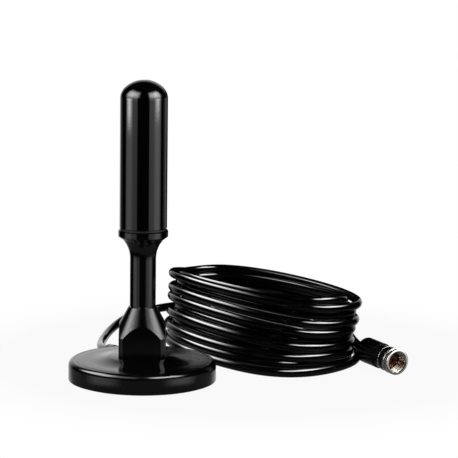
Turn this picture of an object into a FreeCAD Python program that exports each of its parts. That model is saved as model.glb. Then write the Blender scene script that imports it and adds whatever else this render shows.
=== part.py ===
import FreeCAD, Part
import math
import os
import re
import Sketcher
from FreeCAD import Placement, Rotation, Vector

# Rod aerial on a magnetic base, with its coaxial cable coiled beside it and a threaded plug on the end.
# The origin is the middle of the base's underside, +Z runs up the mast and the front looks along -Y.

doc = FreeCAD.newDocument("Antenna")
sheet = doc.addObject("Spreadsheet::Sheet", "Sizes")

SIZES = {
    # Base
    "base_dia": 65.0,
    "base_height": 9.4,
    "base_roof": 1.3,
    "base_wall": 1.75,
    "base_skirt": 0.5,
    "edge_round": 1.6,
    "edge_bead": 0.25,
    "hub_dia": 31.6,
    "hub_top_dia": 27.4,
    "hub_rise": 1.6,
    "pad_thickness": 0.9,
    "magnet_bore": 24.0,
    "fit_gap": 0.05,
    # Foot
    "foot_width": 20.3,
    "foot_corner": 1.75,
    "foot_height": 22.0,
    "foot_top_dia": 12.5,
    "foot_cone_lean": 0.5423,
    # Stud and its stack under the cover
    "stud_dia": 6.0,
    "stud_edge": 0.5,
    "stud_tail": 0.9,
    "stud_in_core": 3.9,
    "bush_wall": 1.0,
    "bush_flange_dia": 13.0,
    "bush_flange": 1.0,
    "lug_thickness": 0.6,
    "lug_dia": 11.0,
    "lug_reach": 9.6,
    "lug_tab_width": 3.0,
    "washer_thickness": 0.6,
    "washer_dia": 10.4,
    "nut_flats": 10.0,
    "nut_thickness": 2.4,
    # Mast
    "neck_dia": 11.4,
    "neck_joint": 0.5,
    "neck_joint_depth": 0.5,
    "neck_length": 21.4,
    "flare_height": 8.4,
    "flare_dia": 17.8,
    "collar_slope": 1.2,
    "collar_height": 3.1,
    "collar_lip": 0.5,
    "collar_edge": 0.35,
    "spigot_height": 6.0,
    "cavity_depth": 6.6,
    "cavity_dia": 12.0,
    # Radome
    "seal_thickness": 0.8,
    "seal_recess": 0.35,
    "radome_dia": 20.8,
    "radome_wall": 1.6,
    "radome_length": 64.8,
    "radome_edge": 0.25,
    "dome_knuckle": 6.8,
    "dome_crown": 1.4,
    # Aerial
    "core_wall": 1.0,
    "core_disc": 2.0,
    "core_clear": 7.4,
    "wire_dia": 1.4,
    "wire_pitch": 5.0,
    "wire_margin": 4.0,
    # Cable and its grommet
    "cable_dia": 4.0,
    "exit_angle": 115.0,
    "grommet_wall": 0.45,
    "grommet_body": 1.2,
    "grommet_tip": 0.6,
    "grommet_reach": 6.0,
    # Cable coil, an oval ring that changes evenly from the floor to its top
    "coil_low_x": 51.0,
    "coil_low_y": 64.0,
    "coil_low_long": 54.0,
    "coil_low_short": 35.0,
    "coil_low_turn": 58.0,
    "coil_high_x": 54.0,
    "coil_high_y": 77.0,
    "coil_high_long": 61.0,
    "coil_high_short": 22.5,
    "coil_high_turn": 53.5,
    "coil_stack": 31.0,
    "coil_outward": 3.0,
    "coil_inward": 6.0,
    # Plug, lying on the floor with its nut down
    "plug_front_x": 113.5,
    "plug_front_y": 15.5,
    "plug_heading": -59.0,
    "plug_pitch": 2.5,
    "boot_length": 15.5,
    "boot_rear_wall": 2.3,
    "boot_rear_edge": 0.8,
    "boot_taper": 3.2,
    "boot_step": 0.5,
    "boot_edge": 0.4,
    "boot_nose": 3.7,
    "boot_nose_wall": 1.6,
    "boot_gap": 0.3,
    "sleeve_wall": 1.0,
    "sleeve_length": 9.0,
    "post_dia": 5.4,
    "post_wall": 1.1,
    "post_flange": 1.0,
    "post_flange_gap": 0.4,
    "coupling_bore": 9.2,
    "coupling_wall": 0.5,
    "coupling_back": 1.0,
    "coupling_edge": 0.25,
    "rear_ring": 0.8,
    "rear_ring_lip": 0.6,
    "waist_length": 3.1,
    "grip_thickness": 0.5,
    "front_ring": 1.4,
    "front_ring_lip": 0.8,
    "front_groove": 1.2,
    "front_groove_lip": 0.3,
    "mouth_ring": 1.5,
    "mouth_edge": 0.35,
    "thread_lead_in": 0.4,
    "running_gap": 0.06,
    "pin_dia": 1.1,
    "pin_edge": 0.3,
    "pin_reach": 0.8,
}
for row, (alias, number) in enumerate(SIZES.items(), start=1):
    sheet.set(f"A{row}", alias)
    sheet.set(f"B{row}", str(number))
    sheet.setAlias(f"B{row}", alias)
doc.recompute()


def linked(text):
    """The expression with every size name pointed at its cell."""
    return re.sub(r"[a-z_]{3,}", lambda m: "Sizes." + m.group() if m.group() in SIZES else m.group(), text)


def value(text):
    """The number that an expression of size names comes to."""
    return float(sheet.evalExpression(linked(text)))


def pin_down(sketch, geometry, point, across, up):
    """Ties one point of a sketch to expressions for its two coordinates; None leaves one free."""
    for kind, axis, text in (("DistanceX", -2, across), ("DistanceY", -1, up)):
        if text is None:
            continue
        if abs(value(text)) < 1e-9:
            sketch.addConstraint(Sketcher.Constraint("PointOnObject", geometry, point, axis))
            continue
        index = sketch.addConstraint(Sketcher.Constraint(kind, -1, 1, geometry, point, value(text)))
        sketch.setExpression(f"Constraints[{index}]", linked(text))


def draw(sketch, corners):
    """Draws a closed outline. A corner is (across, up); the side that arrives at it is an arc when it also
    gives (centre across, centre up, "ccw" or "cw", the coordinate that is tied: "across" or "up")."""
    spots = [Vector(value(corner[0]), value(corner[1]), 0) for corner in corners]
    starts, ends = [], []
    for index, spot in enumerate(spots):
        arrival = corners[(index + 1) % len(corners)]
        target = spots[(index + 1) % len(spots)]
        if len(arrival) == 2:
            sketch.addGeometry(Part.LineSegment(spot, target), False)
            starts.append(1)
            ends.append(2)
            continue
        centre = Vector(value(arrival[2]), value(arrival[3]), 0)
        forward = arrival[4] == "ccw"
        first, last = (spot, target) if forward else (target, spot)
        circle = Part.Circle(centre, Vector(0, 0, 1), (spot - centre).Length)
        angles = [math.atan2((p - centre).y, (p - centre).x) for p in (first, last)]
        sketch.addGeometry(Part.ArcOfCircle(circle, *angles), False)
        starts.append(1 if forward else 2)
        ends.append(2 if forward else 1)
    for index in range(len(corners)):
        after = (index + 1) % len(corners)
        joint = Sketcher.Constraint("Coincident", index, ends[index], after, starts[after])
        sketch.addConstraint(joint)
    for index, corner in enumerate(corners):
        tied = corner[5] if len(corner) > 2 else "both"
        pin_down(
            sketch,
            index,
            starts[index],
            corner[0] if tied != "up" else None,
            corner[1] if tied != "across" else None,
        )
        if len(corner) > 2:
            pin_down(sketch, index - 1 if index else len(corners) - 1, 3, corner[2], corner[3])


def new_body(label):
    body = doc.addObject("PartDesign::Body", label)
    body.Label = label
    return body


def sketch_on(body, role, name):
    """A sketch on one of the body's own origin planes."""
    sketch = body.newObject("Sketcher::SketchObject", name)
    plane = next(item for item in body.Origin.OriginFeatures if item.Role == role)
    sketch.AttachmentSupport = [(plane, "")]
    sketch.MapMode = "FlatFace"
    return sketch


def turned(label, corners):
    """A body turned about +Z from its half section, given as radius and height."""
    body = new_body(label)
    sketch = sketch_on(body, "XZ_Plane", label + "_section")
    draw(sketch, corners)
    turn = body.newObject("PartDesign::Revolution", label + "_turning")
    turn.Profile = sketch
    turn.ReferenceAxis = (sketch, ["V_Axis"])
    turn.Angle = 360
    sketch.Visibility = False
    return body


def ring(label, outer, inner, low, high):
    """A plain turned ring between two radii and two heights."""
    return turned(label, [(inner, low), (outer, low), (outer, high), (inner, high)])


def raise_to(piece, height):
    """Sets a piece on a height that follows the sizes."""
    piece.setExpression("Placement.Base.z", linked(height))


def turn_to(piece, angle):
    """Turns a piece about +Z by an angle that follows the sizes."""
    piece.Placement = Placement(Vector(0, 0, 0), Rotation(Vector(0, 0, 1), value(angle)))
    piece.setExpression("Placement.Rotation.Angle", linked(angle))


def hole_along(body, name, role, centre, diameter, length, reverse=False):
    """A round pocket from one of the body's origin planes."""
    sketch = sketch_on(body, role, name + "_circle")
    spot = Vector(value(centre[0]), value(centre[1]), 0)
    sketch.addGeometry(Part.Circle(spot, Vector(0, 0, 1), value(diameter) / 2), False)
    pin_down(sketch, 0, 3, centre[0], centre[1])
    index = sketch.addConstraint(Sketcher.Constraint("Diameter", 0, value(diameter)))
    sketch.setExpression(f"Constraints[{index}]", linked(diameter))
    pocket = body.newObject("PartDesign::Pocket", name)
    pocket.Profile = sketch
    pocket.Length = value(length)
    pocket.setExpression("Length", linked(length))
    pocket.Reversed = reverse
    sketch.Visibility = False
    return pocket


# Base: a cover with a rounded shoulder, a fine bead round its top and a low hub under the foot.
ROOF = "(base_height - base_roof)"
HUB_TOP = "(base_height + hub_rise)"
BASE_R = "base_dia / 2"
SHOULDER = "(base_dia / 2 - edge_round)"
HUB_RUN = "((hub_dia - hub_top_dia) / 2)"
HUB_SWEEP = f"(({HUB_RUN} ^ 2 + hub_rise ^ 2) / (2 * hub_rise))"
CABLE_Z = f"({ROOF} - fit_gap - cable_dia / 2)"
MAGNET_TOP = f"({ROOF} - 2 * fit_gap - cable_dia)"
WALL_INSIDE = f"({BASE_R} - base_wall)"
base_cover = turned("base_cover", [
    ("stud_dia / 2 + bush_wall + fit_gap", ROOF),
    (WALL_INSIDE, ROOF),
    (WALL_INSIDE, "base_skirt"),
    (f"{BASE_R} - edge_bead", "base_skirt"),
    (BASE_R, "base_skirt + edge_bead"),
    (BASE_R, "base_height - edge_bead - edge_round"),
    (SHOULDER, "base_height - edge_bead", SHOULDER, "base_height - edge_bead - edge_round", "ccw", "across"),
    (f"{SHOULDER} - edge_bead", "base_height"),
    ("hub_dia / 2", "base_height"),
    ("hub_top_dia / 2", HUB_TOP, "hub_dia / 2", f"base_height + {HUB_SWEEP}", "cw", "across"),
    ("stud_dia / 2 + bush_wall + fit_gap", HUB_TOP),
])
hole_along(
    base_cover, "cable_hole", "XZ_Plane", ("0", CABLE_Z), "cable_dia + 2 * grommet_wall", "base_dia"
)
turn_to(base_cover, "exit_angle - 90")

FLOOR_R = f"({WALL_INSIDE} - fit_gap)"
base_pad = turned("base_pad", [
    ("0", "0"),
    (FLOOR_R, "0"),
    (FLOOR_R, "pad_thickness"),
    ("0", "pad_thickness"),
])
ring_magnet = ring("ring_magnet", FLOOR_R, "magnet_bore / 2", "pad_thickness", MAGNET_TOP)

# Heights up the mast, each standing on the one below it.
FOOT_TOP = f"({HUB_TOP} + foot_height)"
FLARE_LOW = f"({FOOT_TOP} + neck_length)"
FLARE_TOP = f"({FLARE_LOW} + flare_height)"
COLLAR_LOW = f"({FLARE_TOP} + collar_slope)"
COLLAR_TOP = f"({COLLAR_LOW} + collar_height)"
SPIGOT_TOP = f"({COLLAR_TOP} + spigot_height)"
RADOME_LOW = f"({COLLAR_TOP} + seal_thickness)"
RADOME_TOP = f"({RADOME_LOW} + radome_length)"

# Stack under the cover: bush, soldering lug, spring washer and nut on the feed stud.
BUSH_LOW = f"({ROOF} - bush_flange)"
LUG_LOW = f"({BUSH_LOW} - lug_thickness)"
WASHER_LOW = f"({LUG_LOW} - washer_thickness)"
NUT_LOW = f"({WASHER_LOW} - nut_thickness)"
STUD_LOW = f"({NUT_LOW} - stud_tail)"
STUD_TOP = f"({SPIGOT_TOP} + stud_in_core)"
STUD_BORE = "(stud_dia / 2 + fit_gap)"
insulator_bush = turned("insulator_bush", [
    (STUD_BORE, BUSH_LOW),
    ("bush_flange_dia / 2", BUSH_LOW),
    ("bush_flange_dia / 2", ROOF),
    ("stud_dia / 2 + bush_wall", ROOF),
    ("stud_dia / 2 + bush_wall", HUB_TOP),
    (STUD_BORE, HUB_TOP),
])
feed_stud = turned("feed_stud", [
    ("0", STUD_LOW),
    ("stud_dia / 2 - stud_edge", STUD_LOW),
    ("stud_dia / 2", f"{STUD_LOW} + stud_edge"),
    ("stud_dia / 2", f"{STUD_TOP} - stud_edge"),
    ("stud_dia / 2 - stud_edge", STUD_TOP),
    ("0", STUD_TOP),
])
lock_washer = ring("lock_washer", "washer_dia / 2", STUD_BORE, WASHER_LOW, LUG_LOW)

solder_lug = ring("solder_lug", "lug_dia / 2", STUD_BORE, LUG_LOW, BUSH_LOW)
LUG_MIDDLE = f"(({STUD_BORE} + lug_dia / 2) / 2)"
tab_sketch = sketch_on(solder_lug, "XZ_Plane", "lug_tab_side")
draw(tab_sketch, [
    (LUG_MIDDLE, LUG_LOW),
    ("lug_reach", LUG_LOW),
    ("lug_reach", BUSH_LOW),
    (LUG_MIDDLE, BUSH_LOW),
])
lug_tab = solder_lug.newObject("PartDesign::Pad", "lug_tab")
lug_tab.Profile = tab_sketch
lug_tab.Midplane = True
lug_tab.setExpression("Length", linked("lug_tab_width"))
turn_to(solder_lug, "exit_angle")

stud_nut = new_body("stud_nut")
nut_sketch = sketch_on(stud_nut, "XY_Plane", "nut_hexagon")
NUT_SIDE = "(nut_flats / sqrt(3))"
draw(nut_sketch, [
    (NUT_SIDE, "0"),
    (f"{NUT_SIDE} / 2", "nut_flats / 2"),
    (f"-{NUT_SIDE} / 2", "nut_flats / 2"),
    (f"-{NUT_SIDE}", "0"),
    (f"-{NUT_SIDE} / 2", "-nut_flats / 2"),
    (f"{NUT_SIDE} / 2", "-nut_flats / 2"),
])
nut_pad = stud_nut.newObject("PartDesign::Pad", "nut_block")
nut_pad.Profile = nut_sketch
nut_pad.setExpression("Length", linked("nut_thickness"))
hole_along(stud_nut, "nut_bore", "XY_Plane", ("0", "0"), "stud_dia + 2 * fit_gap", "nut_thickness", True)
raise_to(stud_nut, NUT_LOW)

# Foot: a square bar with cut corners, its top turned to a cone so that every flat ends in an arch.
foot = new_body("foot")
bar_sketch = sketch_on(foot, "XY_Plane", "foot_bar_section")
HALF = "foot_width / 2"
CUT = "(foot_width / 2 - foot_corner)"
draw(bar_sketch, [
    (HALF, f"-{CUT}"),
    (HALF, CUT),
    (CUT, HALF),
    (f"-{CUT}", HALF),
    (f"-{HALF}", CUT),
    (f"-{HALF}", f"-{CUT}"),
    (f"-{CUT}", f"-{HALF}"),
    (CUT, f"-{HALF}"),
])
bar = foot.newObject("PartDesign::Pad", "foot_bar")
bar.Profile = bar_sketch
bar.setExpression("Length", linked("foot_height"))
cone_sketch = sketch_on(foot, "XZ_Plane", "foot_cone_section")
BEYOND = "(foot_width * 0.75)"
draw(cone_sketch, [
    ("foot_top_dia / 2", "foot_height"),
    (BEYOND, f"foot_height - ({BEYOND} - foot_top_dia / 2) / foot_cone_lean"),
    (BEYOND, "foot_height"),
])
cone_cut = foot.newObject("PartDesign::Groove", "foot_cone")
cone_cut.Profile = cone_sketch
cone_cut.ReferenceAxis = (cone_sketch, ["V_Axis"])
cone_cut.Angle = 360
hole_along(foot, "foot_bore", "XY_Plane", ("0", "0"), "stud_dia + 2 * fit_gap", "foot_height", True)
raise_to(foot, HUB_TOP)

# Mast: neck, trumpet flare and collar in one moulding, with a spigot that the radome sleeves over.
NECK_R = "neck_dia / 2"
FLARE_RUN = "((flare_dia - neck_dia) / 2)"
FLARE_SWEEP = f"(({FLARE_RUN} ^ 2 + flare_height ^ 2) / (2 * {FLARE_RUN}))"
COLLAR_R = "(radome_dia / 2 + collar_lip)"
SPIGOT_R = "(radome_dia / 2 - radome_wall - fit_gap)"
CAVITY_LOW = f"({COLLAR_TOP} - cavity_depth)"
mast = turned("mast", [
    (STUD_BORE, FOOT_TOP),
    (f"{NECK_R} - neck_joint_depth", FOOT_TOP),
    (f"{NECK_R} - neck_joint_depth", f"{FOOT_TOP} + neck_joint"),
    (NECK_R, f"{FOOT_TOP} + neck_joint"),
    (NECK_R, FLARE_LOW),
    ("flare_dia / 2", FLARE_TOP, f"{NECK_R} + {FLARE_SWEEP}", FLARE_LOW, "cw", "up"),
    (f"{COLLAR_R} - collar_edge", COLLAR_LOW),
    (COLLAR_R, f"{COLLAR_LOW} + collar_edge"),
    (COLLAR_R, f"{COLLAR_TOP} - collar_edge"),
    (f"{COLLAR_R} - collar_edge", COLLAR_TOP),
    (SPIGOT_R, COLLAR_TOP),
    (SPIGOT_R, SPIGOT_TOP),
    ("cavity_dia / 2", SPIGOT_TOP),
    ("cavity_dia / 2", CAVITY_LOW),
    (STUD_BORE, CAVITY_LOW),
])
seal_ring = ring(
    "seal_ring", "radome_dia / 2 - seal_recess", f"{SPIGOT_R} + fit_gap", COLLAR_TOP, RADOME_LOW
)

# Radome: a thin tube closed by a crowned end, the crown blending into the tube by a tighter knuckle.
DOME_HEIGHT = "(dome_knuckle + dome_crown)"
DOME_Z = f"({RADOME_TOP} - {DOME_HEIGHT})"
KNUCKLE_R = "(radome_dia / 2 - dome_knuckle)"
CROWN = f"(({DOME_HEIGHT} ^ 2 - dome_knuckle ^ 2 + {KNUCKLE_R} ^ 2) / (2 * dome_crown))"
CROWN_Z = f"({RADOME_TOP} - {CROWN})"
LEAN = f"({KNUCKLE_R} / ({CROWN} - dome_knuckle))"
RISE = f"(({CROWN} - {DOME_HEIGHT}) / ({CROWN} - dome_knuckle))"


def dome(inset):
    """Corners from the tube's end over the knuckle and the crown to the axis, set in by a wall."""
    crown = f"({CROWN} - {inset})"
    return [
        (f"radome_dia / 2 - {inset}", DOME_Z),
        (f"{crown} * {LEAN}", f"{CROWN_Z} + {crown} * {RISE}", KNUCKLE_R, DOME_Z, "ccw", "up"),
        ("0", f"{RADOME_TOP} - {inset}", "0", CROWN_Z, "ccw", "across"),
    ]


outside = dome("0")
inside = dome("radome_wall")
radome = turned("radome", [
    ("radome_dia / 2 - radome_wall", RADOME_LOW),
    ("radome_dia / 2 - radome_edge", RADOME_LOW),
    ("radome_dia / 2", f"{RADOME_LOW} + radome_edge"),
    *outside,
    inside[2][:2],
    (*inside[1][:2], "0", CROWN_Z, "cw", "across"),
    (*inside[0], KNUCKLE_R, DOME_Z, "cw", "up"),
])

# Aerial: a wire helix on a moulded core that stands on the spigot and takes the stud's top.
CORE_LOW = SPIGOT_TOP
CORE_TOP = f"({DOME_Z} - core_clear)"
CORE_R = "(stud_dia / 2 + core_wall)"
coil_former = turned("coil_former", [
    (STUD_BORE, CORE_LOW),
    (SPIGOT_R, CORE_LOW),
    (SPIGOT_R, f"{CORE_LOW} + core_disc"),
    (CORE_R, f"{CORE_LOW} + core_disc"),
    (CORE_R, f"{CORE_TOP} - core_disc"),
    (SPIGOT_R, f"{CORE_TOP} - core_disc"),
    (SPIGOT_R, CORE_TOP),
    ("0", CORE_TOP),
    ("0", f"{STUD_TOP} + fit_gap"),
    (STUD_BORE, f"{STUD_TOP} + fit_gap"),
])
WIRE_R = f"({CORE_R} + wire_dia / 2 + fit_gap)"
WIRE_LOW = f"({CORE_LOW} + core_disc + wire_margin)"
WIRE_TOP = f"({CORE_TOP} - core_disc - wire_margin)"
wire_path = doc.addObject("Part::Helix", "wire_path")
wire_path.setExpression("Pitch", linked("wire_pitch"))
wire_path.setExpression("Height", linked(f"{WIRE_TOP} - {WIRE_LOW}"))
wire_path.setExpression("Radius", linked(WIRE_R))
raise_to(wire_path, WIRE_LOW)
wire_round = doc.addObject("Part::Circle", "wire_round")
wire_round.setExpression("Radius", linked("wire_dia / 2"))
wire_round.Placement = Placement(Vector(0, 0, 0), Rotation(Vector(0, 0, 1), Vector(0, 1, 0)))
wire_round.setExpression("Placement.Base.x", linked(WIRE_R))
raise_to(wire_round, WIRE_LOW)
radiator_coil = doc.addObject("Part::Sweep", "radiator_coil")
radiator_coil.Sections = [wire_round]
radiator_coil.Spine = (wire_path, [])
radiator_coil.Solid = True
radiator_coil.Frenet = True

# Cable exit: the lead lies on the magnet, passes the cover's wall and leaves through a tapered grommet.
bearing = math.radians(value("exit_angle"))
exit_way = Vector(math.cos(bearing), math.sin(bearing), 0)
exit_turn = Rotation(Vector(0, 0, 1), exit_way)
GROMMET_TIP = f"({BASE_R} + grommet_reach)"
inner_lead = doc.addObject("Part::Cylinder", "inner_lead")
inner_lead.setExpression("Radius", linked("cable_dia / 2"))
inner_lead.setExpression("Height", linked(f"{WALL_INSIDE} - lug_reach"))
inner_lead.Placement = Placement(exit_way * value("lug_reach") + Vector(0, 0, value(CABLE_Z)), exit_turn)
cable_grommet = turned("cable_grommet", [
    ("cable_dia / 2 + fit_gap", WALL_INSIDE),
    ("cable_dia / 2 + grommet_wall - fit_gap", WALL_INSIDE),
    ("cable_dia / 2 + grommet_wall - fit_gap", f"{BASE_R} + fit_gap"),
    ("cable_dia / 2 + grommet_body", f"{BASE_R} + fit_gap"),
    ("cable_dia / 2 + grommet_tip", GROMMET_TIP),
    ("cable_dia / 2 + fit_gap", GROMMET_TIP),
])
cable_grommet.Placement = Placement(Vector(0, 0, value(CABLE_Z)), exit_turn)

# Plug: every piece is turned about its own axis, from the boot's rear to the nut's mouth, then laid down.
heading = math.radians(value("plug_heading"))
pitch = math.radians(value("plug_pitch"))
plug_way = Vector(
    math.cos(heading) * math.cos(pitch), math.sin(heading) * math.cos(pitch), -math.sin(pitch)
)
BOOT_FRONT = "(boot_length + boot_nose)"
SLEEVE_LOW = f"({BOOT_FRONT} - sleeve_length)"
NUT_REAR = f"({BOOT_FRONT} + boot_gap)"
WAIST_LOW = f"({NUT_REAR} + rear_ring)"
WAIST_TOP = f"({WAIST_LOW} + waist_length)"
GROOVE_LOW = f"({WAIST_TOP} + front_ring)"
GROOVE_TOP = f"({GROOVE_LOW} + front_groove)"
MOUTH = f"({GROOVE_TOP} + mouth_ring)"
FLANGE_LOW = f"({NUT_REAR} + coupling_back + running_gap)"
POST_FRONT = f"({FLANGE_LOW} + post_flange)"
SLEEVE_R = "(post_dia / 2 + sleeve_wall)"
NOSE_R = f"({SLEEVE_R} + boot_nose_wall)"
BOOT_R = f"({NOSE_R} + boot_step)"
REAR_R = "(cable_dia / 2 + boot_rear_wall)"
POST_BORE = "(post_dia / 2 - post_wall)"
BORE_R = "(coupling_bore / 2)"
FLANGE_R = f"({BORE_R} - post_flange_gap)"
WAIST_R = f"({BORE_R} + coupling_wall)"
COUPLING_R = f"({WAIST_R} + front_ring_lip)"

plug_front = Vector(
    value("plug_front_x"), value("plug_front_y"), value(f"{COUPLING_R} + fit_gap") * math.cos(pitch)
)
plug_rear = plug_front - plug_way * value(MOUTH)
plug_place = Placement(plug_rear, Rotation(Vector(0, 0, 1), plug_way))
plug_boot = turned("plug_boot", [
    ("0", "0"),
    (f"{REAR_R} - boot_rear_edge", "0"),
    (REAR_R, "boot_rear_edge"),
    (BOOT_R, "boot_taper"),
    (BOOT_R, "boot_length - boot_edge"),
    (f"{BOOT_R} - boot_edge", "boot_length"),
    (NOSE_R, "boot_length"),
    (NOSE_R, BOOT_FRONT),
    (f"{SLEEVE_R} + fit_gap", BOOT_FRONT),
    (f"{SLEEVE_R} + fit_gap", SLEEVE_LOW),
    ("0", SLEEVE_LOW),
])
crimp_sleeve = ring("crimp_sleeve", SLEEVE_R, "post_dia / 2 + fit_gap", SLEEVE_LOW, BOOT_FRONT)
plug_post = turned("plug_post", [
    (POST_BORE, SLEEVE_LOW),
    ("post_dia / 2", SLEEVE_LOW),
    ("post_dia / 2", FLANGE_LOW),
    (FLANGE_R, FLANGE_LOW),
    (FLANGE_R, POST_FRONT),
    (POST_BORE, POST_FRONT),
])
plug_insulator = ring(
    "plug_insulator", f"{POST_BORE} - fit_gap", "pin_dia / 2 + fit_gap", SLEEVE_LOW, POST_FRONT
)
PIN_END = f"({MOUTH} + pin_reach)"
centre_pin = turned("centre_pin", [
    ("0", SLEEVE_LOW),
    ("pin_dia / 2", SLEEVE_LOW),
    ("pin_dia / 2", f"{PIN_END} - pin_edge"),
    ("pin_dia / 2 - pin_edge", PIN_END),
    ("0", PIN_END),
])
coupling_nut = turned("coupling_nut", [
    ("post_dia / 2 + running_gap", NUT_REAR),
    (f"{WAIST_R} + rear_ring_lip", NUT_REAR),
    (f"{WAIST_R} + rear_ring_lip", WAIST_LOW),
    (WAIST_R, WAIST_LOW),
    (WAIST_R, WAIST_TOP),
    (f"{COUPLING_R} - coupling_edge", WAIST_TOP),
    (COUPLING_R, f"{WAIST_TOP} + coupling_edge"),
    (COUPLING_R, f"{GROOVE_LOW} - coupling_edge"),
    (f"{COUPLING_R} - coupling_edge", GROOVE_LOW),
    (f"{WAIST_R} + front_groove_lip", GROOVE_LOW),
    (f"{WAIST_R} + front_groove_lip", GROOVE_TOP),
    (f"{COUPLING_R} - coupling_edge", GROOVE_TOP),
    (COUPLING_R, f"{GROOVE_TOP} + coupling_edge"),
    (COUPLING_R, f"{MOUTH} - mouth_edge"),
    (f"{COUPLING_R} - mouth_edge", MOUTH),
    (f"{BORE_R} + thread_lead_in", MOUTH),
    (BORE_R, f"{MOUTH} - thread_lead_in"),
    (BORE_R, f"{NUT_REAR} + coupling_back"),
    ("post_dia / 2 + running_gap", f"{NUT_REAR} + coupling_back"),
])
grip_ring = ring("grip_ring", f"{WAIST_R} + grip_thickness", f"{WAIST_R} + fit_gap", WAIST_LOW, WAIST_TOP)
PLUG_PIECES = [
    plug_boot, crimp_sleeve, plug_post, plug_insulator, centre_pin, coupling_nut, grip_ring,
]
for piece in PLUG_PIECES:
    piece.Placement = plug_place

# Cable coil: the ring that the turns fill, an oval that narrows and leans back as it rises.


def oval(name, level, grow, height):
    """One level of the coil as an ellipse, grown or shrunk from the turns' middle line."""
    ellipse = doc.addObject("Part::Ellipse", name)
    ellipse.setExpression("MajorRadius", linked(f"coil_{level}_long + {grow}"))
    ellipse.setExpression("MinorRadius", linked(f"coil_{level}_short + {grow}"))
    spot = Vector(value(f"coil_{level}_x"), value(f"coil_{level}_y"), value(height))
    ellipse.Placement = Placement(spot, Rotation(Vector(0, 0, 1), -value(f"coil_{level}_turn")))
    return ellipse


def oval_block(name, grow, low, high):
    """A solid lofted between the coil's two levels."""
    block = doc.addObject("Part::Loft", name)
    block.Sections = [oval(name + "_low", "low", grow, low), oval(name + "_high", "high", grow, high)]
    block.Solid = True
    block.Ruled = True
    return block


cable_coil = doc.addObject("Part::Cut", "cable_coil")
cable_coil.Base = oval_block("coil_outside", "coil_outward", "0", "coil_stack")
cable_coil.Tool = oval_block("coil_inside", "-coil_inward", "-1", "coil_stack + 1")

# Free cable: straight runs joined by tangent bends, from the cover to the coil and from the coil to the plug.


def cord(label, points, diameter):
    """A round cord along straight runs whose corners are bent to 0.45 of the shorter run beside them."""
    edges = []
    start = points[0]
    tightest = None
    for before, corner, after in zip(points, points[1:], points[2:]):
        inward, outward = (before - corner), (after - corner)
        reach = 0.45 * min(inward.Length, outward.Length)
        half_turn = (math.pi - inward.getAngle(outward)) / 2
        radius = reach / math.tan(half_turn)
        tightest = radius if tightest is None else min(tightest, radius)
        inward.normalize()
        outward.normalize()
        leave, rejoin = corner + inward * reach, corner + outward * reach
        middle = (inward + outward).normalize()
        crest = corner + middle * (radius / math.cos(half_turn) - radius)
        edges.append(Part.LineSegment(start, leave).toShape())
        edges.append(Part.Arc(leave, crest, rejoin).toShape())
        start = rejoin
    edges.append(Part.LineSegment(start, points[-1]).toShape())
    path = Part.Wire(edges)
    length = path.Length
    section = Part.Wire(Part.Circle(points[0], points[1] - points[0], diameter / 2).toShape())
    solid = path.makePipeShell([section], True, False)
    fill = solid.Volume / (math.pi * diameter ** 2 / 4 * length)
    print(f"{label}: length {length:.1f}, tightest bend {tightest:.1f}, volume share {fill:.3f}")
    feature = doc.addObject("Part::Feature", label)
    feature.Shape = solid
    return feature


lead_start = exit_way * value(WALL_INSIDE) + Vector(0, 0, value(CABLE_Z))
LEAD_ROUTE = [
    lead_start,
    lead_start + exit_way * 17,
    Vector(-23.6, 67, 2.1),
    Vector(-21, 93, 3.0),
    Vector(-12.5, 110, 6.8),
    Vector(3, 116.5, 9.6),
    Vector(21, 118.5, 11.0),
]
cable_lead = cord("cable_lead", LEAD_ROUTE, value("cable_dia"))
TAIL_ROUTE = [
    Vector(92.2, 55.5, 8.4),
    plug_rear - plug_way * 8.5,
    plug_rear,
]
cable_tail = cord("cable_tail", TAIL_ROUTE, value("cable_dia"))

NODES = [
    radome, seal_ring, mast, coil_former, radiator_coil, feed_stud, foot, base_cover, insulator_bush,
    solder_lug, lock_washer, stud_nut, ring_magnet, base_pad, cable_grommet, inner_lead, cable_lead,
    cable_coil, cable_tail, *PLUG_PIECES,
]
doc.recompute()
for item in doc.Objects:
    if "Invalid" in item.State or "Error" in item.State:
        raise RuntimeError(f"{item.Label} did not rebuild: {item.State}")
os.makedirs("parts", exist_ok=True)
for node in NODES:
    shape = node.Shape
    if shape.isNull() or not shape.isValid() or not shape.Solids:
        raise RuntimeError(f"{node.Label} has no sound solid")
    node.Label = node.Name
    shape.exportStep(f"parts/{node.Name}.step")
print(f"{len(NODES)} nodes written")
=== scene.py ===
import math
import random
import bmesh
import bpy
from mathutils import Matrix, Vector


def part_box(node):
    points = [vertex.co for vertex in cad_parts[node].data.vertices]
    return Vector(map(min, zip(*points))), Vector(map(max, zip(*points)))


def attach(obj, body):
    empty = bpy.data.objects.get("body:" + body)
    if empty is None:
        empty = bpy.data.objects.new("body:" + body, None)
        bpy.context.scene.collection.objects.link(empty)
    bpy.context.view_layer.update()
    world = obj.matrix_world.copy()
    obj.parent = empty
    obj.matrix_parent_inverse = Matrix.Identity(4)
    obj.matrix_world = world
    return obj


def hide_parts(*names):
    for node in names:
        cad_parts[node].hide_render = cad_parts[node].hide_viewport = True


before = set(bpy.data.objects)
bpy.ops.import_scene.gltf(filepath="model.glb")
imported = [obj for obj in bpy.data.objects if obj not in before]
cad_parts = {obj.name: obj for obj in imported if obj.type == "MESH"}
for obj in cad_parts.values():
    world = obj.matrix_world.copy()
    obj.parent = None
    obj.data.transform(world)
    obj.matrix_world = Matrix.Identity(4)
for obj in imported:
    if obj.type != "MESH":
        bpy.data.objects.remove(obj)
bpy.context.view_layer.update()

# Base cover: a pressed steel bowl with a rounded shoulder, a fine bead round its top and a low hub under
# the foot. It is powder coated satin black, so its top mirrors the room only softly.
MM = 0.001
CLOUD_MM = 9.0
CLOUD_LOW, CLOUD_HIGH = 0.3, 0.7
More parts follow.
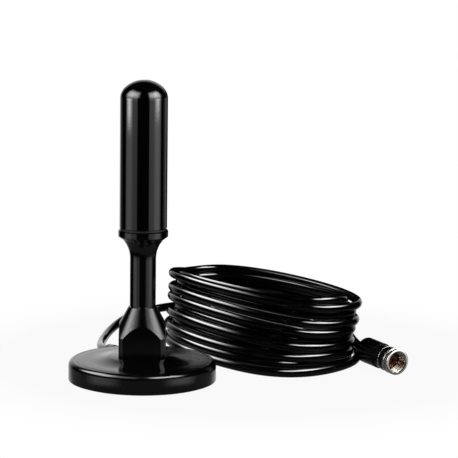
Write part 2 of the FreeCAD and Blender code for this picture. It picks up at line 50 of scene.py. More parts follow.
GRAIN_DEPTH = 0.25
TURNED_CREASE = math.radians(38)


def linear(code):
    """An sRGB hex colour as linear RGBA."""
    parts = [int(code[i:i + 2], 16) / 255 for i in (1, 3, 5)]
    return [c / 12.92 if c <= 0.04045 else ((c + 0.055) / 1.055) ** 2.4 for c in parts] + [1.0]


def add(tree, kind, inputs=None, **settings):
    """Adds a node with its settings, and fills or links its inputs."""
    node = tree.nodes.new(kind)
    for name, setting in settings.items():
        setattr(node, name, setting)
    for socket, given in (inputs or {}).items():
        if isinstance(given, bpy.types.NodeSocket):
            tree.links.new(given, node.inputs[socket])
        else:
            node.inputs[socket].default_value = given
    return node


def blank(name):
    """A new node material, its tree and its output."""
    material = bpy.data.materials.new(name)
    material.use_nodes = True
    tree = material.node_tree
    tree.nodes.clear()
    return material, tree, add(tree, "ShaderNodeOutputMaterial")


def moulded(name, dark, light, rough, spread, grain_mm, relief, **constants):
    """A finish whose colour drifts between two shades and whose skin has a fine grain of a real size."""
    material, tree, output = blank(name)
    place = add(tree, "ShaderNodeTexCoord").outputs["Object"]
    cloud = add(tree, "ShaderNodeTexNoise", {"Vector": place, "Scale": 1 / (CLOUD_MM * MM), "Detail": 3.0})
    grain = add(tree, "ShaderNodeTexNoise", {"Vector": place, "Scale": 1 / (grain_mm * MM), "Detail": 2.0})
    colour = add(tree, "ShaderNodeMix", {"Factor": cloud.outputs["Fac"]}, data_type="RGBA")
    colour.inputs["A"].default_value = linear(dark)
    colour.inputs["B"].default_value = linear(light)
    gloss = add(tree, "ShaderNodeMapRange", {"Value": cloud.outputs["Fac"],
                                             "From Min": CLOUD_LOW, "From Max": CLOUD_HIGH,
                                             "To Min": rough - spread, "To Max": rough + spread})
    bump = add(tree, "ShaderNodeBump", {"Height": grain.outputs["Fac"], "Strength": relief,
                                        "Distance": grain_mm * MM * GRAIN_DEPTH})
    shader = add(tree, "ShaderNodeBsdfPrincipled", {"Base Color": colour.outputs["Result"],
                                                    "Roughness": gloss.outputs["Result"],
                                                    "Normal": bump.outputs["Normal"]})
    for socket, given in constants.items():
        shader.inputs[socket.replace("_", " ")].default_value = given
    tree.links.new(shader.outputs["BSDF"], output.inputs["Surface"])
    return material


def dress(material, *nodes):
    """Gives a finish to the model's own nodes."""
    for node in nodes:
        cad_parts[node].material_slots[0].material = material


def turned_mesh(name, outline, segments):
    """A closed ring turned about Z from an outline of (radius, height) in millimetres, with sharp corners."""
    corners = []
    for i in range(segments):
        turn = 2 * math.pi * i / segments
        corners += [(r * MM * math.cos(turn), r * MM * math.sin(turn), z * MM) for r, z in outline]
    count = len(outline)
    faces = []
    for i in range(segments):
        here = i * count
        after = (i + 1) % segments * count
        for low in range(count):
            high = (low + 1) % count
            faces.append((here + low, after + low, after + high, here + high))
    mesh = bpy.data.meshes.new(name)
    mesh.from_pydata(corners, [], faces)
    shape = bmesh.new()
    shape.from_mesh(mesh)
    bmesh.ops.recalc_face_normals(shape, faces=shape.faces)
    shape.to_mesh(mesh)
    shape.free()
    mesh.shade_smooth()
    mesh.set_sharp_from_angle(angle=TURNED_CREASE)
    piece = bpy.data.objects.new(name, mesh)
    bpy.context.scene.collection.objects.link(piece)
    return piece


COVER_R, SKIRT, COVER_TOP, ROOF, WALL_R, STUD_HOLE = 32.5, 0.5, 9.4, 8.1, 30.75, 4.05
SKIRT_ROUND, SKIRT_CUT = 0.3, 0.09
SHOULDER_ROUND, SHOULDER_DROP, SHOULDER_STEPS = 2.3, 0.15, 8
HUB_R, HUB_FOOT_R, HUB_RISE, HUB_CURVE, HUB_STEPS = 14.4, 24.5, 1.6, 2.2, 12
COVER_SEGMENTS = 192
# The bead, as radius and depth under the top.
BEAD = [(30.0, 0.17), (29.8, 0.24), (29.6, 0.24), (29.4, 0.17), (29.0, 0.12), (27.5, 0.06), (26.0, 0.0)]
outline = [
    (STUD_HOLE, ROOF),
    (WALL_R, ROOF),
    (WALL_R, SKIRT),
    (COVER_R - SKIRT_ROUND, SKIRT),
    (COVER_R - SKIRT_CUT, SKIRT + SKIRT_CUT),
    (COVER_R, SKIRT + SKIRT_ROUND),
]
for i in range(SHOULDER_STEPS + 1):
    lean = math.radians(90 * i / SHOULDER_STEPS)
    outline.append((COVER_R - SHOULDER_ROUND * (1 - math.cos(lean)),
                    COVER_TOP - SHOULDER_DROP - SHOULDER_ROUND * (1 - math.sin(lean))))
outline += [(radius, COVER_TOP - depth) for radius, depth in BEAD]
for i in range(HUB_STEPS + 1):
    share = i / HUB_STEPS
    outline.append((HUB_FOOT_R + (HUB_R - HUB_FOOT_R) * share, COVER_TOP + HUB_RISE * share ** HUB_CURVE))
outline.append((STUD_HOLE, COVER_TOP + HUB_RISE))
cover = turned_mesh("pressed_cover", outline, COVER_SEGMENTS)
powder_coat = moulded("powder_coat_satin_black", "#050506", "#080809",
                      rough=0.15, spread=0.02, grain_mm=0.5, relief=0.03, IOR=1.45)
cover.data.materials.append(powder_coat)
dress(powder_coat, "base_cover")
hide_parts("base_cover")
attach(cover, "antenna")

# Base pad and ring magnet: a thin rubber disc glued under a sintered ferrite ring, which holds the base
# on to steel. The rubber is matte with a fine cloth-like grain, the ferrite a dull dark grey.
pad_rubber = moulded("pad_rubber_matte", "#151515", "#1e1e1e",
                     rough=0.82, spread=0.05, grain_mm=0.5, relief=0.5)
ferrite = moulded("sintered_ferrite", "#2a2a2b", "#3a3a3b",
                  rough=0.6, spread=0.08, grain_mm=0.3, relief=0.4)
dress(pad_rubber, "base_pad")
dress(ferrite, "ring_magnet")

# Foot: a moulded square bar with cut corners, turned to a cone at its top, so that each flat ends in an
# arch. It is satin black ABS, bolted to the hub from below. Its upper edges are slightly rounded.
WELD, FLAT_ANGLE = 0.002 * MM, math.radians(1)
EDGE_ANGLE, EDGE_ROUND, EDGE_STEPS = math.radians(14), 0.35 * MM, 3
FOOT_LOW, SEAT_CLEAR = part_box("foot")[0][2], 0.1 * MM
FOOT_CREASE, FLAT_WEIGHT = math.radians(35), 100
satin_abs = moulded("abs_satin_black", "#020203", "#040405",
                    rough=0.16, spread=0.02, grain_mm=0.4, relief=0.03, IOR=1.42)
foot = bpy.data.objects.new("foot_block", bpy.data.meshes.new("foot_block"))
bpy.context.scene.collection.objects.link(foot)
shape = bmesh.new()
shape.from_mesh(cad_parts["foot"].data)
bmesh.ops.remove_doubles(shape, verts=shape.verts, dist=WELD)
bmesh.ops.dissolve_limit(shape, angle_limit=FLAT_ANGLE, verts=shape.verts, edges=shape.edges)
bmesh.ops.recalc_face_normals(shape, faces=shape.faces)
corners = [edge for edge in shape.edges if edge.is_manifold and edge.calc_face_angle() > EDGE_ANGLE
           and max(corner.co.z for corner in edge.verts) > FOOT_LOW + SEAT_CLEAR]
bmesh.ops.bevel(shape, geom=corners, offset=EDGE_ROUND, offset_type="OFFSET", segments=EDGE_STEPS,
                profile=0.5, affect="EDGES", clamp_overlap=True)
bmesh.ops.triangulate(shape, faces=[face for face in shape.faces if len(face.verts) > 4])
shape.verts.index_update()
foot.data.from_pydata([corner.co for corner in shape.verts], [],
                      [[corner.index for corner in face.verts] for face in shape.faces])
shape.free()
foot.data.shade_smooth()
foot.data.set_sharp_from_angle(angle=FOOT_CREASE)
weighted = foot.modifiers.new("flat_sides", "WEIGHTED_NORMAL")
weighted.keep_sharp = True
weighted.weight = FLAT_WEIGHT
foot.data.materials.append(satin_abs)
dress(satin_abs, "foot")
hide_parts("foot")
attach(foot, "antenna")

# Mast: neck, trumpet flare and collar in one black ABS moulding, polished a little brighter than the foot.
# A rubber ring sits in the groove between its collar and the radome.
gloss_abs = moulded("abs_gloss_black", "#060607", "#09090a",
                    rough=0.13, spread=0.02, grain_mm=0.5, relief=0.02, IOR=1.46)
seal_rubber = moulded("seal_rubber_black", "#050505", "#0a0a0a",
                      rough=0.6, spread=0.05, grain_mm=0.3, relief=0.3)
dress(gloss_abs, "mast")
dress(seal_rubber, "seal_ring")

# Radome: a thin tube with a crowned end, moulded in black ABS and polished to a mirror. It sleeves over
# the mast's spigot and covers the aerial.
mirror_abs = moulded("abs_mirror_black", "#040405", "#060607",
                     rough=0.035, spread=0.01, grain_mm=1.2, relief=0.01, IOR=1.48)
dress(mirror_abs, "radome")

# Aerial and feed: a copper helix on a nylon core, on top of a brass stud that passes the mast, the foot and
# the cover. Under the cover the stud carries a nylon bush, a tinned lug, a spring washer and a plated nut.
# None of it shows from outside: the nylon is cream and dull, the metals are bright.
nylon = moulded("nylon_natural", "#cfc9b8", "#dcd7c8",
                rough=0.45, spread=0.05, grain_mm=0.6, relief=0.15)
copper = moulded("copper_drawn", "#b5714b", "#c98a63",
                 rough=0.28, spread=0.05, grain_mm=0.4, relief=0.1, Metallic=1.0)
brass = moulded("brass_turned", "#b08d4a", "#c4a362",
                rough=0.3, spread=0.05, grain_mm=0.3, relief=0.1, Metallic=1.0)
tinned = moulded("brass_tinned", "#b4b2ac", "#c8c6c0",
                 rough=0.35, spread=0.06, grain_mm=0.4, relief=0.15, Metallic=1.0)
zinc = moulded("steel_zinc_plated", "#a9adb0", "#bfc3c6",
               rough=0.32, spread=0.05, grain_mm=0.4, relief=0.1, Metallic=1.0)
dress(nylon, "coil_former", "insulator_bush")
dress(copper, "radiator_coil")
dress(brass, "feed_stud")
dress(tinned, "solder_lug")
dress(zinc, "lock_washer", "stud_nut")

# Plug: a threaded coaxial plug on the cable's end. A moulded boot holds the crimped post, a bright nickel
# plated nut turns on the post, and the cable's own copper core is the pin in its mouth.
nickel = moulded("nickel_plate_bright", "#c9c6c0", "#d9d6d0",
                 rough=0.12, spread=0.02, grain_mm=0.8, relief=0.01, Metallic=1.0)
boot_pvc = moulded("pvc_boot_black", "#040404", "#080808",
                   rough=0.3, spread=0.04, grain_mm=0.4, relief=0.15, IOR=1.33)
dielectric = moulded("polythene_amber", "#3f241b", "#5e3a2c",
                     rough=0.4, spread=0.05, grain_mm=0.3, relief=0.2)
bronze = moulded("bronze_browned", "#7d4c3a", "#b08a76",
                 rough=0.2, spread=0.05, grain_mm=0.9, relief=0.1, Metallic=1.0)
PLUG_REAR, PLUG_WAY = (99.35, 39.05, 7.144), (0.514548, -0.856351, -0.043619)
# Heights from the plug's rear: the nut's collar, the waist for the grip, a ring, a groove and the lip.
NUT_REAR, COLLAR_END, NUT_BACK, RING_LOW, RING_END, LIP_LOW, MOUTH = 19.5, 20.3, 20.5, 23.4, 24.8, 26.0, 27.5
COLLAR_R, WAIST_R, RING_R, GROOVE_R, BORE_R, POST_HOLE = 5.7, 5.1, 5.9, 5.4, 4.6, 2.76
MOUTH_CHAMFER = 0.4
NUT_SEGMENTS = 96
# Each rounded edge: how far it reaches along both sides, and how far its middle is cut back.
COLLAR_EDGE, RING_EDGE, MOUTH_EDGE = (0.15, 0.04), (0.25, 0.07), (0.35, 0.1)


def rounded_edge(radius, height, edge, way):
    """Three outline points round an edge, going up from a flat face (way 1) or up to one (way -1)."""
    reach, cut = edge
    points = [(radius - reach, height), (radius - cut, height + way * cut), (radius, height + way * reach)]
    return points[::way]


plug_place = Matrix.Translation(Vector(PLUG_REAR) * MM) @ Vector((0, 0, 1)).rotation_difference(
    Vector(PLUG_WAY)).to_matrix().to_4x4()
nut_outline = [(POST_HOLE, NUT_REAR)]
nut_outline += rounded_edge(COLLAR_R, NUT_REAR, COLLAR_EDGE, 1)
nut_outline += rounded_edge(COLLAR_R, COLLAR_END, COLLAR_EDGE, -1)
nut_outline += [(WAIST_R, COLLAR_END), (WAIST_R, RING_LOW)]
nut_outline += rounded_edge(RING_R, RING_LOW, RING_EDGE, 1)
nut_outline += rounded_edge(RING_R, RING_END, RING_EDGE, -1)
nut_outline += [(GROOVE_R, RING_END), (GROOVE_R, LIP_LOW)]
nut_outline += rounded_edge(RING_R, LIP_LOW, RING_EDGE, 1)
nut_outline += rounded_edge(RING_R, MOUTH, MOUTH_EDGE, -1)
nut_outline += [(BORE_R + MOUTH_CHAMFER, MOUTH), (BORE_R, MOUTH - MOUTH_CHAMFER)]
nut_outline += [(BORE_R, NUT_BACK), (POST_HOLE, NUT_BACK)]
nut = turned_mesh("turned_nut", nut_outline, NUT_SEGMENTS)
nut.data.transform(plug_place)
nut.data.materials.append(nickel)
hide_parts("coupling_nut")
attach(nut, "coupling")

# Nut's thread: one fine ridge that runs round the inside of the mouth in a helix, rolled in the same plated
# brass. It is swept along a spiral by Geometry Nodes.
THREAD = {"Pitch": 0.8 * MM, "Turns": 6.5, "Radius": BORE_R * MM, "Ridge": 0.2 * MM}
THREAD_LOW, SPIRAL_STEPS, RIDGE_SIDES = 21.85, 48, 8
rolled = bpy.data.node_groups.new("rolled_thread", "GeometryNodeTree")
rolled.is_modifier = True
sizes = {name: rolled.interface.new_socket(name, in_out="INPUT", socket_type="NodeSocketFloat").identifier
         for name in THREAD}
rolled.interface.new_socket("Thread", in_out="OUTPUT", socket_type="NodeSocketGeometry")
given = add(rolled, "NodeGroupInput").outputs
rise = add(rolled, "ShaderNodeMath", {0: given["Pitch"], 1: given["Turns"]}, operation="MULTIPLY")
spiral = add(rolled, "GeometryNodeCurveSpiral", {"Resolution": SPIRAL_STEPS, "Rotations": given["Turns"],
                                                 "Start Radius": given["Radius"],
                                                 "End Radius": given["Radius"],
                                                 "Height": rise.outputs[0]})
ridge = add(rolled, "GeometryNodeCurvePrimitiveCircle", {"Resolution": RIDGE_SIDES, "Radius": given["Ridge"]})
swept = add(rolled, "GeometryNodeCurveToMesh", {"Curve": spiral.outputs[0],
                                                "Profile Curve": ridge.outputs["Curve"],
                                                "Fill Caps": True})
real = add(rolled, "GeometryNodeRealizeInstances", {"Geometry": swept.outputs[0]})
plated = add(rolled, "GeometryNodeSetMaterial", {"Geometry": real.outputs[0], "Material": nickel})
rolled.links.new(plated.outputs[0], add(rolled, "NodeGroupOutput").inputs["Thread"])
thread = bpy.data.objects.new("nut_thread", bpy.data.meshes.new("nut_thread"))
bpy.context.scene.collection.objects.link(thread)
maker = thread.modifiers.new("rolled_thread", "NODES")
maker.node_group = rolled
for name, size in THREAD.items():
    maker[sizes[name]] = size
thread.data = bpy.data.meshes.new_from_object(thread.evaluated_get(bpy.context.evaluated_depsgraph_get()))
thread.modifiers.remove(maker)
thread.data.shade_smooth()
thread.data.transform(plug_place @ Matrix.Translation((0, 0, THREAD_LOW * MM)))
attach(thread, "coupling")

# Rest of the plug: the crimp sleeve and the post inside the boot, the insulator round the pin, and the rubber
# grip in the nut's waist.
dress(nickel, "coupling_nut", "crimp_sleeve")
dress(bronze, "plug_post")
dress(boot_pvc, "plug_boot", "grip_ring")
dress(dielectric, "plug_insulator")
dress(copper, "centre_pin")

# Cable: thin coaxial cable in a black PVC jacket, wound as it comes from its box. It leaves the base at the
# back, lies on the table to the coil and comes out at the coil's right end, where the plug is.
CABLE = 4.0
COIL_LOW = {"x": 51.0, "y": 64.0, "long": 54.0, "short": 35.0, "turn": 58.0}
COIL_HIGH = {"x": 54.0, "y": 77.0, "long": 61.0, "short": 22.5, "turn": 53.5}
COIL_STACK = 31.0
LEAD = [(-13.0, 27.87, 6.05), (-20.18, 43.28, 4.4), (-22.2, 67, 2.1), (-19.4, 93, 3.0), (-11.5, 109, 6.8),
        (3, 116.5, 9.6)]
TAIL = [(95.6, 47.4, 7.51), (99.35, 39.05, 7.144)]
# Four stations of each turn: the back end, the back side, the front end and the front side. Each is the
# height over the table and the inset from the coil's outside. The first turn comes down outside the back
# to the table, the next ones climb, the inner and outer rings close the top, and the last one goes down.
# The turns lie in two layers. Where they change layer they still pass into each other, by up to 1.6 mm.
TURNS = [
    [(11.0, -4.4), (4.8, -4.6), (2.05, -1.2), (2.05, 0.2)],
    [(2.05, 0.0), (2.05, 0.2), (4.4, 2.8), (4.9, 0.6)],
    [(4.8, 3.2), (5.2, 2.9), (7.3, -0.6), (8.0, -0.1)],
    [(7.2, -0.2), (8.2, 0.2), (8.8, 3.2), (9.9, 3.1)],
    [(9.6, 3.2), (11.0, 2.9), (11.2, -0.2), (13.7, 0.0)],
    [(12.0, -0.2), (14.0, 0.2), (13.6, 3.2), (15.9, 2.9)],
    [(14.8, 2.8), (17.2, 2.9), (16.8, 0.0), (19.8, 0.0)],
    [(18.0, -0.2), (20.2, 0.2), (20.8, 0.2), (23.4, 0.0)],
    [(22.0, 0.0), (24.0, 0.2), (24.3, 3.6), (25.8, 3.2)],
    [(24.4, 4.4), (26.8, 3.2), (30.0, 8.6), (29.8, 4.2)],
    [(27.8, 4.4), (29.2, 1.2), (28.1, -0.3), (29.2, -0.2)],
    [(26.4, -1.2), (15.0, -5.0)],
]
TO_TAIL, LAST_PART = (7.9, -3.4), 0.33
# The lowest turns spread on the table where the coil's front end is free.
SPREAD, SPREAD_AT, SPREAD_REACH, SPREAD_TURNS = 5.4, 0.585, 0.085, 3
PER_TURN = 24
SWAY, SWAY_SEED = 0.3, 11
TABLE_CLEAR = 0.02


def on_turn(angle, height, inset):
    """A point of a turn: an oval with round ends that leans back and narrows from the table to the top."""
    share = height / COIL_STACK
    now = {key: COIL_LOW[key] + (COIL_HIGH[key] - COIL_LOW[key]) * share for key in COIL_LOW}
    across, swell = math.cos(angle), 1 / math.cos(math.pi / PER_TURN)
    short = now["short"] - inset
    u = (short * across + (now["long"] - now["short"]) * (3 * across - across ** 3) / 2) * swell
    v = short * math.sin(angle) * swell
    turn = math.radians(now["turn"])
    x = now["x"] + u * math.cos(turn) + v * math.sin(turn)
    y = now["y"] - u * math.sin(turn) + v * math.cos(turn)
    return (x, y, height)


def coil_points():
    """The coil's turns, clockwise from the back end, where the cable comes in."""
    loose = random.Random(SWAY_SEED)
    stations = [station for turn in TURNS for station in turn] + [TO_TAIL]
    points = []
    for step in range(round((len(TURNS) - 1 + LAST_PART) * PER_TURN)):
        place = step * 4 / PER_TURN
        at = int(place)
        t = place - at
        if step % PER_TURN == 0:
            sway = [loose.uniform(-SWAY, SWAY) for _ in range(3)]
        a, b, c, d = (stations[min(max(at + i, 0), len(stations) - 1)] for i in (-1, 0, 1, 2))
        height, inset = (
            (2 * q + (r - p) * t + (2 * p - 5 * q + 4 * r - s) * t * t + (3 * q - p - 3 * r + s) * t ** 3) / 2
            for p, q, r, s in zip(a, b, c, d)
        )
        angle = math.pi - 2 * math.pi * step / PER_TURN
        wave = sway[0] * math.sin(angle) ** 2 + sway[1] * math.sin(2 * angle)
        spread = SPREAD * max(1 - step // PER_TURN / SPREAD_TURNS, 0)
        spread *= math.exp(-((step / PER_TURN % 1 - SPREAD_AT) / SPREAD_REACH) ** 2)
        points.append(on_turn(angle, max(height, CABLE / 2 + TABLE_CLEAR), inset + wave - spread))
    return points


route = LEAD + coil_points() + TAIL
curve = bpy.data.curves.new("coax_cable", "CURVE")
curve.dimensions = "3D"
curve.resolution_u = 6
curve.bevel_depth = CABLE / 2 * MM
curve.bevel_resolution = 5
curve.use_fill_caps = True
line = curve.splines.new("NURBS")
line.points.add(len(route) - 1)
for point, (x, y, z) in zip(line.points, route):
    point.co = (x * MM, y * MM, z * MM, 1.0)
line.order_u = 3
line.use_endpoint_u = True
cable = bpy.data.objects.new("coax_cable", curve)
bpy.context.scene.collection.objects.link(cable)
jacket = moulded("pvc_jacket_black", "#030303", "#060606",
                 rough=0.11, spread=0.02, grain_mm=0.6, relief=0.02, IOR=1.45)
curve.materials.append(jacket)
dress(jacket, "cable_grommet", "inner_lead")
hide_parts("cable_lead", "cable_coil", "cable_tail")
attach(cable, "antenna")

# Studio: a small pale table top under white surroundings, with a tall soft light to each side of the camera.
# The room in front is dark, so the polished black tube shows two upright bands and a dark middle.
FLOOR_MIDDLE, FLOOR_REACH, FLOOR_SIDES, FLOOR_DROP = (0.045, 0.05), 0.17, 96, 0.05 * MM
FADE_FROM, FADE_TO = 0.10, 0.168
FLOOR_GLOW, FLOOR_MIRRORED, FLOOR_THIN = 0.93, 0.15, 0.6
floor_mesh = bpy.data.meshes.new("table_top")
ring = [(FLOOR_MIDDLE[0] + FLOOR_REACH * math.cos(2 * math.pi * i / FLOOR_SIDES),
         FLOOR_MIDDLE[1] + FLOOR_REACH * math.sin(2 * math.pi * i / FLOOR_SIDES),
         -FLOOR_DROP) for i in range(FLOOR_SIDES)]
floor_mesh.from_pydata(ring, [], [list(range(FLOOR_SIDES))])
floor = bpy.data.objects.new("table_top", floor_mesh)
bpy.context.scene.collection.objects.link(floor)
paper, tree, output = blank("paper_white")
place = add(tree, "ShaderNodeTexCoord").outputs["Object"]
centred = add(tree, "ShaderNodeMapping", {"Vector": place,
                                         "Location": (-FLOOR_MIDDLE[0], -FLOOR_MIDDLE[1], 0)})
reach = add(tree, "ShaderNodeVectorMath", {0: centred.outputs["Vector"]}, operation="LENGTH")
edge = add(tree, "ShaderNodeMapRange",
           {"Value": reach.outputs["Value"], "From Min": FADE_FROM, "From Max": FADE_TO},
           interpolation_type="SMOOTHSTEP")
ray = add(tree, "ShaderNodeLightPath")
mirrored = add(tree, "ShaderNodeMath", {0: ray.outputs["Is Glossy Ray"], 1: FLOOR_MIRRORED},
               operation="MULTIPLY")
seen = add(tree, "ShaderNodeMath", {0: ray.outputs["Is Camera Ray"], 1: mirrored.outputs[0]},
           operation="MAXIMUM")
seen = add(tree, "ShaderNodeMath", {0: seen.outputs[0], 1: ray.outputs["Is Transmission Ray"]},
           operation="MAXIMUM")
white = add(tree, "ShaderNodeEmission", {"Color": (1, 1, 1, 1), "Strength": 1.0})
sheet = add(tree, "ShaderNodeBsdfDiffuse", {"Color": linear("#b4b4b4")})
glow = add(tree, "ShaderNodeMath", {0: seen.outputs[0], 1: FLOOR_GLOW}, operation="MULTIPLY")
top = add(tree, "ShaderNodeMixShader", {"Fac": glow.outputs[0], 1: sheet.outputs[0], 2: white.outputs[0]})
clear = add(tree, "ShaderNodeBsdfTransparent")
thin = add(tree, "ShaderNodeMath", {0: ray.outputs["Is Glossy Ray"], 1: FLOOR_THIN}, operation="MULTIPLY")
thin = add(tree, "ShaderNodeMath", {0: thin.outputs[0], 1: edge.outputs["Result"]}, operation="MAXIMUM")
under = add(tree, "ShaderNodeNewGeometry").outputs["Backfacing"]
thin = add(tree, "ShaderNodeMath", {0: thin.outputs[0], 1: under}, operation="MAXIMUM")
fade = add(tree, "ShaderNodeMixShader", {"Fac": thin.outputs[0], 1: top.outputs[0], 2: clear.outputs[0]})
tree.links.new(fade.outputs[0], output.inputs["Surface"])
floor_mesh.materials.append(paper)

# Surroundings: white to the camera, a weak fill for soft light, and in reflections white only far behind.
BEHIND_FROM, BEHIND_TO, FILL = 0.7, 0.97, 0.6
world = bpy.data.worlds.new("studio")
bpy.context.scene.world = world
world.use_nodes = True
tree = world.node_tree
tree.nodes.clear()
ray = add(tree, "ShaderNodeLightPath")
way = add(tree, "ShaderNodeSeparateXYZ", {0: add(tree, "ShaderNodeTexCoord").outputs["Generated"]})
behind = add(tree, "ShaderNodeMapRange", {"Value": way.outputs["Y"],
                                          "From Min": BEHIND_FROM, "From Max": BEHIND_TO,
                                          "To Min": 0.0, "To Max": 1.0})
mirrored = add(tree, "ShaderNodeMath", {0: behind.outputs["Result"], 1: ray.outputs["Is Glossy Ray"]},
               operation="MULTIPLY")
seen = add(tree, "ShaderNodeMath", {0: ray.outputs["Is Camera Ray"], 1: ray.outputs["Is Transmission Ray"]},
           operation="MAXIMUM")
seen = add(tree, "ShaderNodeMath", {0: seen.outputs[0], 1: mirrored.outputs[0]}, operation="MAXIMUM")
fill = add(tree, "ShaderNodeMath", {0: ray.outputs["Is Diffuse Ray"], 1: FILL}, operation="MULTIPLY")
level = add(tree, "ShaderNodeMath", {0: seen.outputs[0], 1: fill.outputs[0]}, operation="MAXIMUM")
sky = add(tree, "ShaderNodeBackground", {"Color": (1, 1, 1, 1), "Strength": level.outputs[0]})
tree.links.new(sky.outputs[0], add(tree, "ShaderNodeOutputWorld").inputs["Surface"])


def read_off(value, stops):
    """The level at a value, on straight lines between stops."""
    for (low, first), (high, second) in zip(stops, stops[1:]):
        if value <= high:
            return first + (second - first) * max(value - low, 0) / (high - low)
    return stops[-1][1]


def glowing_sheet(name, corners, glow, wide, lights):
    """A light made of a grid of points, each with its own brightness, that lights one group of pieces."""
    faces = [(i, i + 1, i + 1 + wide, i + wide) for row in range(len(corners) // wide - 1)
             for i in range(row * wide, row * wide + wide - 1)]
    mesh = bpy.data.meshes.new(name)
    mesh.from_pydata(corners, [], faces)
    mesh.attributes.new("glow", "FLOAT", "POINT").data.foreach_set("value", glow)
    material, tree, output = blank(name)
    level = add(tree, "ShaderNodeAttribute", attribute_name="glow").outputs["Fac"]
    light = add(tree, "ShaderNodeEmission", {"Color": (1, 1, 1, 1), "Strength": level})
    clear = add(tree, "ShaderNodeBsdfTransparent")
    both = add(tree, "ShaderNodeAddShader", {0: light.outputs[0], 1: clear.outputs[0]})
    tree.links.new(both.outputs[0], output.inputs["Surface"])
    mesh.materials.append(material)
    sheet = bpy.data.objects.new(name, mesh)
    sheet.visible_camera = False
    sheet.visible_diffuse = False
    sheet.light_linking.receiver_collection = lights
    bpy.context.scene.collection.objects.link(sheet)


# Soft panels: two tall curved sheets that light everything but the cable and the cover, which have lights
# of their own. Their brightness is given upward in metres and across in degrees from the camera.
PANEL_R, PANEL_LOW, PANEL_STEP, PANEL_ROWS = 0.8, -0.26, 0.03, 46
PANEL_TURNS = range(26, 100, 2)
PANEL_UP = [(-0.25, 0.6), (-0.1, 1.3), (0.02, 1.7), (0.1, 3.0), (0.5, 5.0), (0.9, 2.5), (1.09, 1.0)]
PANEL_ACROSS = [(27, 0.0), (31, 0.45), (50, 0.5), (60, 0.9), (70, 1.0), (84, 0.8), (95, 0.0)]
tube_and_plug = bpy.data.collections.new("tube_and_plug")
for piece in (cable, cover):
    tube_and_plug.objects.link(piece)
for linked in tube_and_plug.collection_objects:
    linked.light_linking.link_state = "EXCLUDE"
for name, side, bright in (("left_soft_panel", -1, 1.0), ("right_soft_panel", 1, 1.25)):
    corners, glow = [], []
    for row in range(PANEL_ROWS):
        height = PANEL_LOW + PANEL_STEP * row
        lamp = read_off(height, PANEL_UP)
        for degrees in PANEL_TURNS:
            turn = math.radians(degrees)
            corners.append((side * PANEL_R * math.sin(turn), -PANEL_R * math.cos(turn), height))
            glow.append(read_off(degrees, PANEL_ACROSS) * lamp * bright)
    glowing_sheet(name, corners, glow, len(PANEL_TURNS), tube_and_plug)

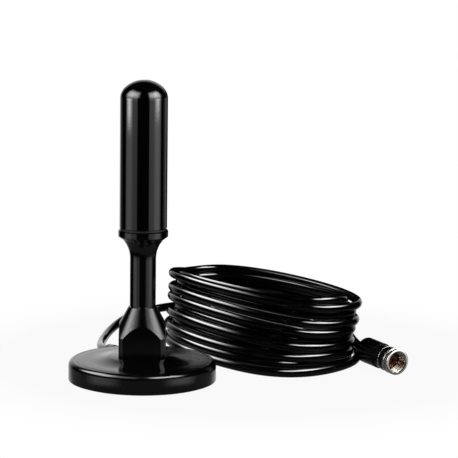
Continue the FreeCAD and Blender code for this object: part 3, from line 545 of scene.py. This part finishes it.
# Smaller lights for one piece each: for the cable's turns, the cover's round edge and side, the foot's cone,
# arches and corners, and the radome's crown, its two bright windows and its rear edges. Each is a patch of a
# dome, with its peak and its brightness across and upward in degrees.
cable_only = bpy.data.collections.new("cable_only")
cable_only.objects.link(cable)
cover_only = bpy.data.collections.new("cover_only")
cover_only.objects.link(cover)
foot_only = bpy.data.collections.new("foot_only")
foot_only.objects.link(foot)
radome_only = bpy.data.collections.new("radome_only")
radome_only.objects.link(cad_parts["radome"])
DOME_R, DOME_MIDDLE = 0.9, 0.04
PATCH_ROWS, PATCH_COLUMNS = 24, 32
PATCHES = [
    ("left_cable_light", cable_only, 11,
     [(-172, 0), (-160, 0.5), (-146, 1), (-130, 1), (-117, 0.15), (-104, 0)],
     [(25, 0), (30, 1), (38, 1), (44, 0)]),
    ("right_cable_light", cable_only, 26,
     [(-30, 0), (-10, 0.7), (20, 1), (96, 1), (124, 0)],
     [(44, 0), (54, 1), (68, 1), (78, 0)]),
    ("left_edge_light", cover_only, 12,
     [(-120, 0), (-108, 1), (-60, 1), (-48, 0.25), (-10, 0.1)],
     [(24, 0), (30, 1), (52, 1), (60, 0)]),
    ("right_edge_light", cover_only, 15,
     [(8, 0), (20, 1), (62, 1), (74, 0)],
     [(26, 0), (34, 1), (52, 1), (60, 0)]),
    ("left_side_light", cover_only, 1.5,
     [(-92, 0), (-72, 1), (-52, 1), (-30, 0)],
     [(-20, 0), (-16, 1), (-6, 1), (0, 0)]),
    ("right_side_light", cover_only, 2,
     [(30, 0), (50, 1), (70, 1), (92, 0)],
     [(-20, 0), (-16, 1), (-6, 1), (0, 0)]),
    ("left_cone_light", foot_only, 6,
     [(-100, 0), (-88, 1), (-78, 1), (-55, 0.3), (-40, 0)],
     [(16, 0), (28, 1), (44, 1), (58, 0)]),
    ("right_cone_light", foot_only, 5,
     [(44, 0), (60, 0.3), (82, 1), (92, 1), (102, 0)],
     [(14, 0), (24, 1), (44, 1), (58, 0)]),
    ("foot_arch_light", foot_only, 12,
     [(-62, 0), (-50, 1), (-26, 1), (-16, 0), (16, 0), (26, 1), (50, 1), (62, 0)],
     [(7, 0), (11, 1), (28, 1), (34, 0)]),
    ("left_corner_light", foot_only, 3,
     [(-72, 0), (-64, 1), (-26, 1), (-18, 0)],
     [(-18, 0), (-15, 1), (-5, 1), (-2, 0)]),
    ("right_corner_light", foot_only, 3,
     [(18, 0), (26, 1), (64, 1), (72, 0)],
     [(-18, 0), (-15, 1), (-5, 1), (-2, 0)]),
    ("left_crown_light", radome_only, 9,
     [(-100, 0), (-88, 0.6), (-60, 1), (-35, 0.8), (-18, 0)],
     [(16, 0), (30, 0.8), (46, 1), (62, 0)]),
    ("right_crown_light", radome_only, 9,
     [(20, 0), (38, 0.8), (60, 1), (88, 0.6), (100, 0)],
     [(16, 0), (30, 0.8), (46, 1), (62, 0)]),
    ("left_window_light", radome_only, 9,
     [(-86, 0), (-79, 0.6), (-73, 1), (-67, 1), (-60, 0.4), (-52, 0)],
     [(0.6, 0), (1.8, 1), (10, 1), (14, 0)]),
    ("right_window_light", radome_only, 7,
     [(50, 0), (58, 0.5), (66, 1), (74, 1), (82, 0.2), (90, 0)],
     [(0.6, 0), (1.8, 1), (10, 1), (14, 0)]),
    ("left_rear_light", radome_only, 0.3,
     [(-165, 0), (-150, 1), (-130, 0.6), (-110, 0)],
     [(-7, 0), (-5, 1), (6, 1), (10, 0)]),
    ("right_rear_light", radome_only, 0.45,
     [(105, 0), (120, 0.5), (135, 1), (150, 1), (165, 0)],
     [(-7, 0), (-5, 1), (6, 1), (10, 0)]),
]
for name, lights, peak, across, upward in PATCHES:
    corners, glow = [], []
    for row in range(PATCH_ROWS + 1):
        degrees = upward[0][0] + (upward[-1][0] - upward[0][0]) * row / PATCH_ROWS
        lift = math.radians(degrees)
        level = peak * read_off(degrees, upward)
        for column in range(PATCH_COLUMNS + 1):
            degrees = across[0][0] + (across[-1][0] - across[0][0]) * column / PATCH_COLUMNS
            turn = math.radians(degrees)
            corners.append((DOME_MIDDLE + DOME_R * math.cos(lift) * math.sin(turn),
                            DOME_MIDDLE - DOME_R * math.cos(lift) * math.cos(turn),
                            DOME_R * math.sin(lift)))
            glow.append(level * read_off(degrees, across))
    glowing_sheet(name, corners, glow, PATCH_COLUMNS + 1, lights)

# Dark card: it stands behind the base on the right, with a low step at its left end. Only polished things see
# it, so it paints a dark reflection on the cover's top there, in place of the coil's own reflection.
CARD_LEFT, CARD_STEP, CARD_RIGHT = -0.018, -0.002, 0.12
CARD_BACK, CARD_LOW, CARD_TOP = 0.14, 0.022, 0.16
card_mesh = bpy.data.meshes.new("dark_card")
card_mesh.from_pydata([(CARD_LEFT, CARD_BACK, 0), (CARD_RIGHT, CARD_BACK, 0),
                       (CARD_RIGHT, CARD_BACK, CARD_TOP), (CARD_STEP, CARD_BACK, CARD_TOP),
                       (CARD_STEP, CARD_BACK, CARD_LOW), (CARD_LEFT, CARD_BACK, CARD_LOW)],
                      [], [(0, 1, 2, 3, 4, 5)])
# The card's black is a painted dark reflection, seen only in the cover's polished top.
painted_reflection, tree, output = blank("painted_dark_reflection")
soft = add(tree, "ShaderNodeBsdfDiffuse", {"Color": linear("#060606")})
tree.links.new(soft.outputs[0], output.inputs["Surface"])
card_mesh.materials.append(painted_reflection)
card = bpy.data.objects.new("dark_card", card_mesh)
bpy.context.scene.collection.objects.link(card)
for kind in ("camera", "diffuse", "transmission", "shadow"):
    setattr(card, "visible_" + kind, False)

# Camera: the photograph's own viewpoint, a long lens a metre in front, slightly above, held a little askew.
SENSOR, LENS, NEAREST = 36.0, 182.45, 0.01
VIEW_FROM, VIEW_DOWN, VIEW_ROLL = (0.03743, -1.0, 0.22791), 9.095, 0.707
lens = bpy.data.cameras.new("photo_view")
lens.sensor_width = SENSOR
lens.lens = LENS
lens.clip_start = NEAREST
camera = bpy.data.objects.new("photo_view", lens)
camera.matrix_world = (
    Matrix.Translation(Vector(VIEW_FROM))
    @ Matrix.Rotation(math.radians(90 - VIEW_DOWN), 4, "X")
    @ Matrix.Rotation(math.radians(VIEW_ROLL), 4, "Z")
)
bpy.context.scene.collection.objects.link(camera)
bpy.context.scene.camera = camera
bpy.context.scene.view_settings.view_transform = "Standard"
